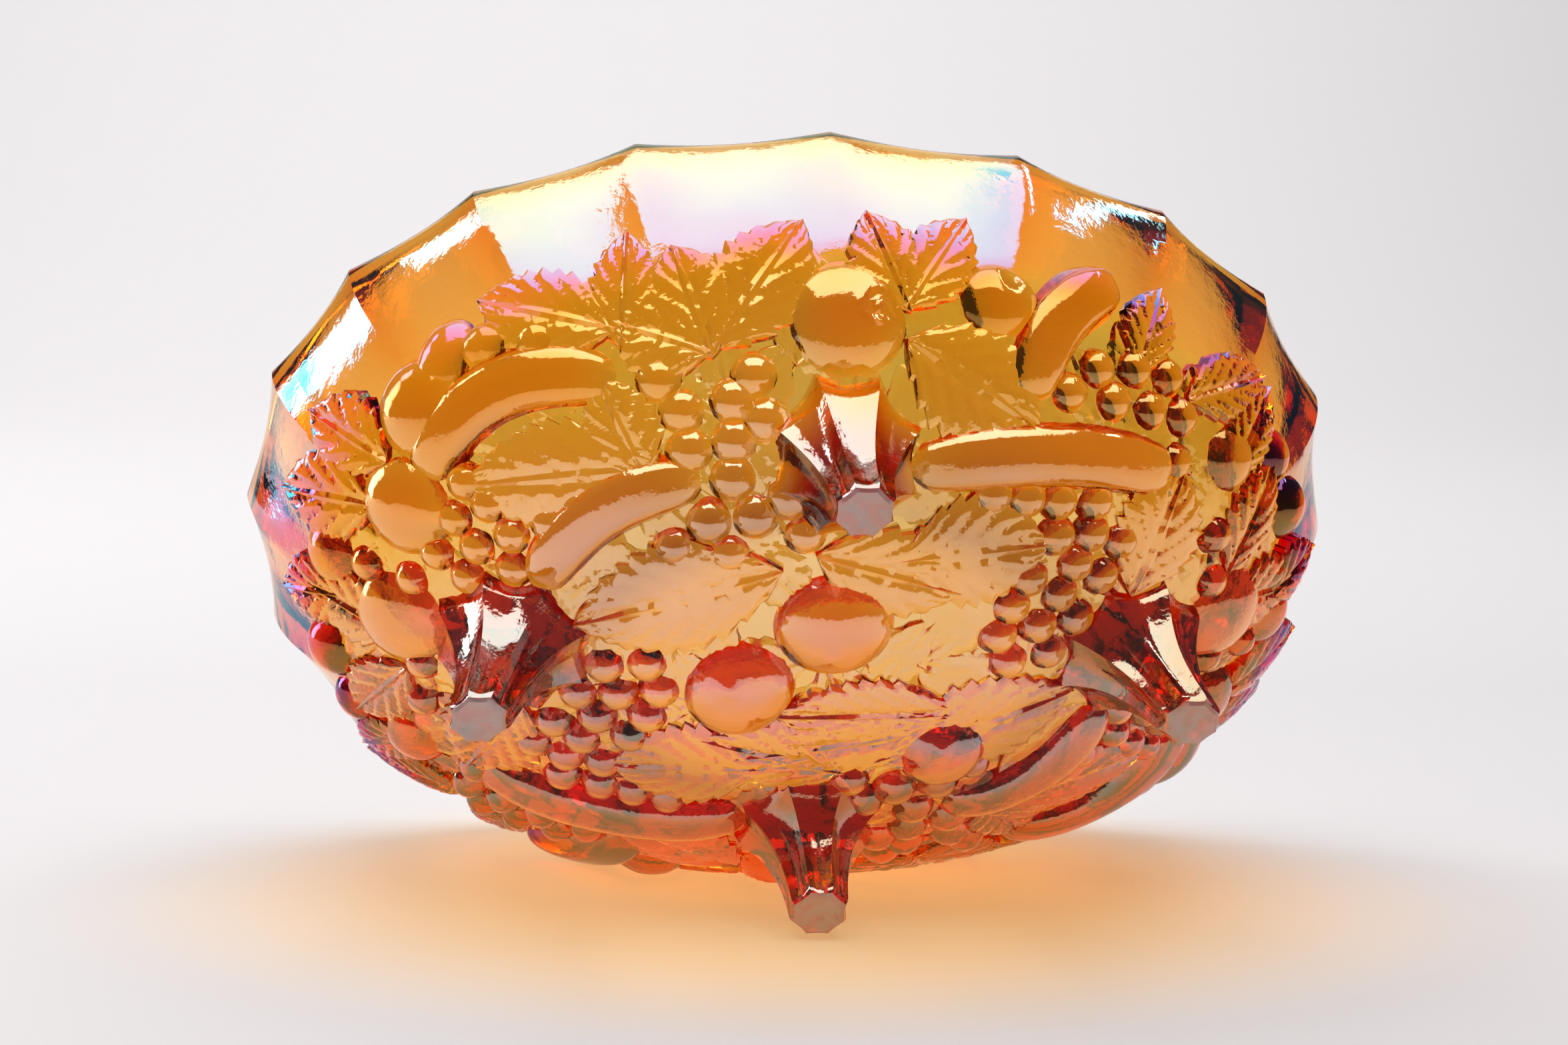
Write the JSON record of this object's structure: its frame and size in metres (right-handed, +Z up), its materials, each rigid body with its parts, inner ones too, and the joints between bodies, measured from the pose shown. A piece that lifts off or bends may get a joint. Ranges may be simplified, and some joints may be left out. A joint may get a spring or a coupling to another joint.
{
  "type": "footed fruit bowl",
  "caption": "Oval footed fruit bowl in pressed amber carnival glass, with a fluted panelled rim and fruit and leaf relief round the outside.",
  "frame": {"origin": "middle of the bowl, on the plane that the four feet stand on", "axes": "+X along the long axis of the oval rim, +Y across it, +Z up out of the bowl's mouth"},
  "size_m": [0.304, 0.226, 0.11],
  "materials": {
    "carnival_glass": "clear golden amber pressed glass with a sprayed iridescent skin, glossy, yellow to cyan and violet in reflections",
    "foot_glass": "the same amber glass where it is thickest, deep red-brown and glossy, with worn satin standing faces"
  },
  "bodies": {
    "root": {"bowl_wall": "carnival_glass", "foot_right": "foot_glass", "foot_back": "foot_glass", "foot_left": "foot_glass", "foot_front": "foot_glass", "plum_bottom_front": "carnival_glass", "plum_bottom_back": "carnival_glass", "plum_bottom_right": "carnival_glass", "leaf_bottom": "carnival_glass", "pear_front": "carnival_glass", "pear_back": "carnival_glass", "peach_front": "carnival_glass", "peach_back": "carnival_glass", "apple_front": "carnival_glass", "apple_back": "carnival_glass", "side_apple_front": "carnival_glass", "side_apple_back": "carnival_glass", "end_apple_front": "carnival_glass", "end_apple_back": "carnival_glass", "plum_front": "carnival_glass", "plum_back": "carnival_glass", "high_banana_front": "carnival_glass", "high_banana_back": "carnival_glass", "long_banana_front": "carnival_glass", "long_banana_back": "carnival_glass", "broad_banana_front": "carnival_glass", "broad_banana_back": "carnival_glass", "low_banana_front": "carnival_glass", "low_banana_back": "carnival_glass", "high_grapes_front": "carnival_glass", "high_grapes_back": "carnival_glass", "right_grapes_front": "carnival_glass", "right_grapes_back": "carnival_glass", "middle_grapes_front": "carnival_glass", "middle_grapes_back": "carnival_glass", "left_grapes_front": "carnival_glass", "left_grapes_back": "carnival_glass", "leaf_by_pear_front": "carnival_glass", "leaf_by_pear_back": "carnival_glass", "leaf_by_peach_front": "carnival_glass", "leaf_by_peach_back": "carnival_glass", "leaf_over_apple_front": "carnival_glass", "leaf_over_apple_back": "carnival_glass", "leaf_under_apple_front": "carnival_glass", "leaf_under_apple_back": "carnival_glass", "leaf_high_right_front": "carnival_glass", "leaf_high_right_back": "carnival_glass", "leaf_on_banana_front": "carnival_glass", "leaf_on_banana_back": "carnival_glass", "leaf_low_left_front": "carnival_glass", "leaf_low_left_back": "carnival_glass", "leaf_by_long_banana_front": "carnival_glass", "leaf_by_long_banana_back": "carnival_glass", "leaf_right_front": "carnival_glass", "leaf_right_back": "carnival_glass", "leaf_left_end_front": "carnival_glass", "leaf_left_end_back": "carnival_glass"}
  },
  "joints": []
}
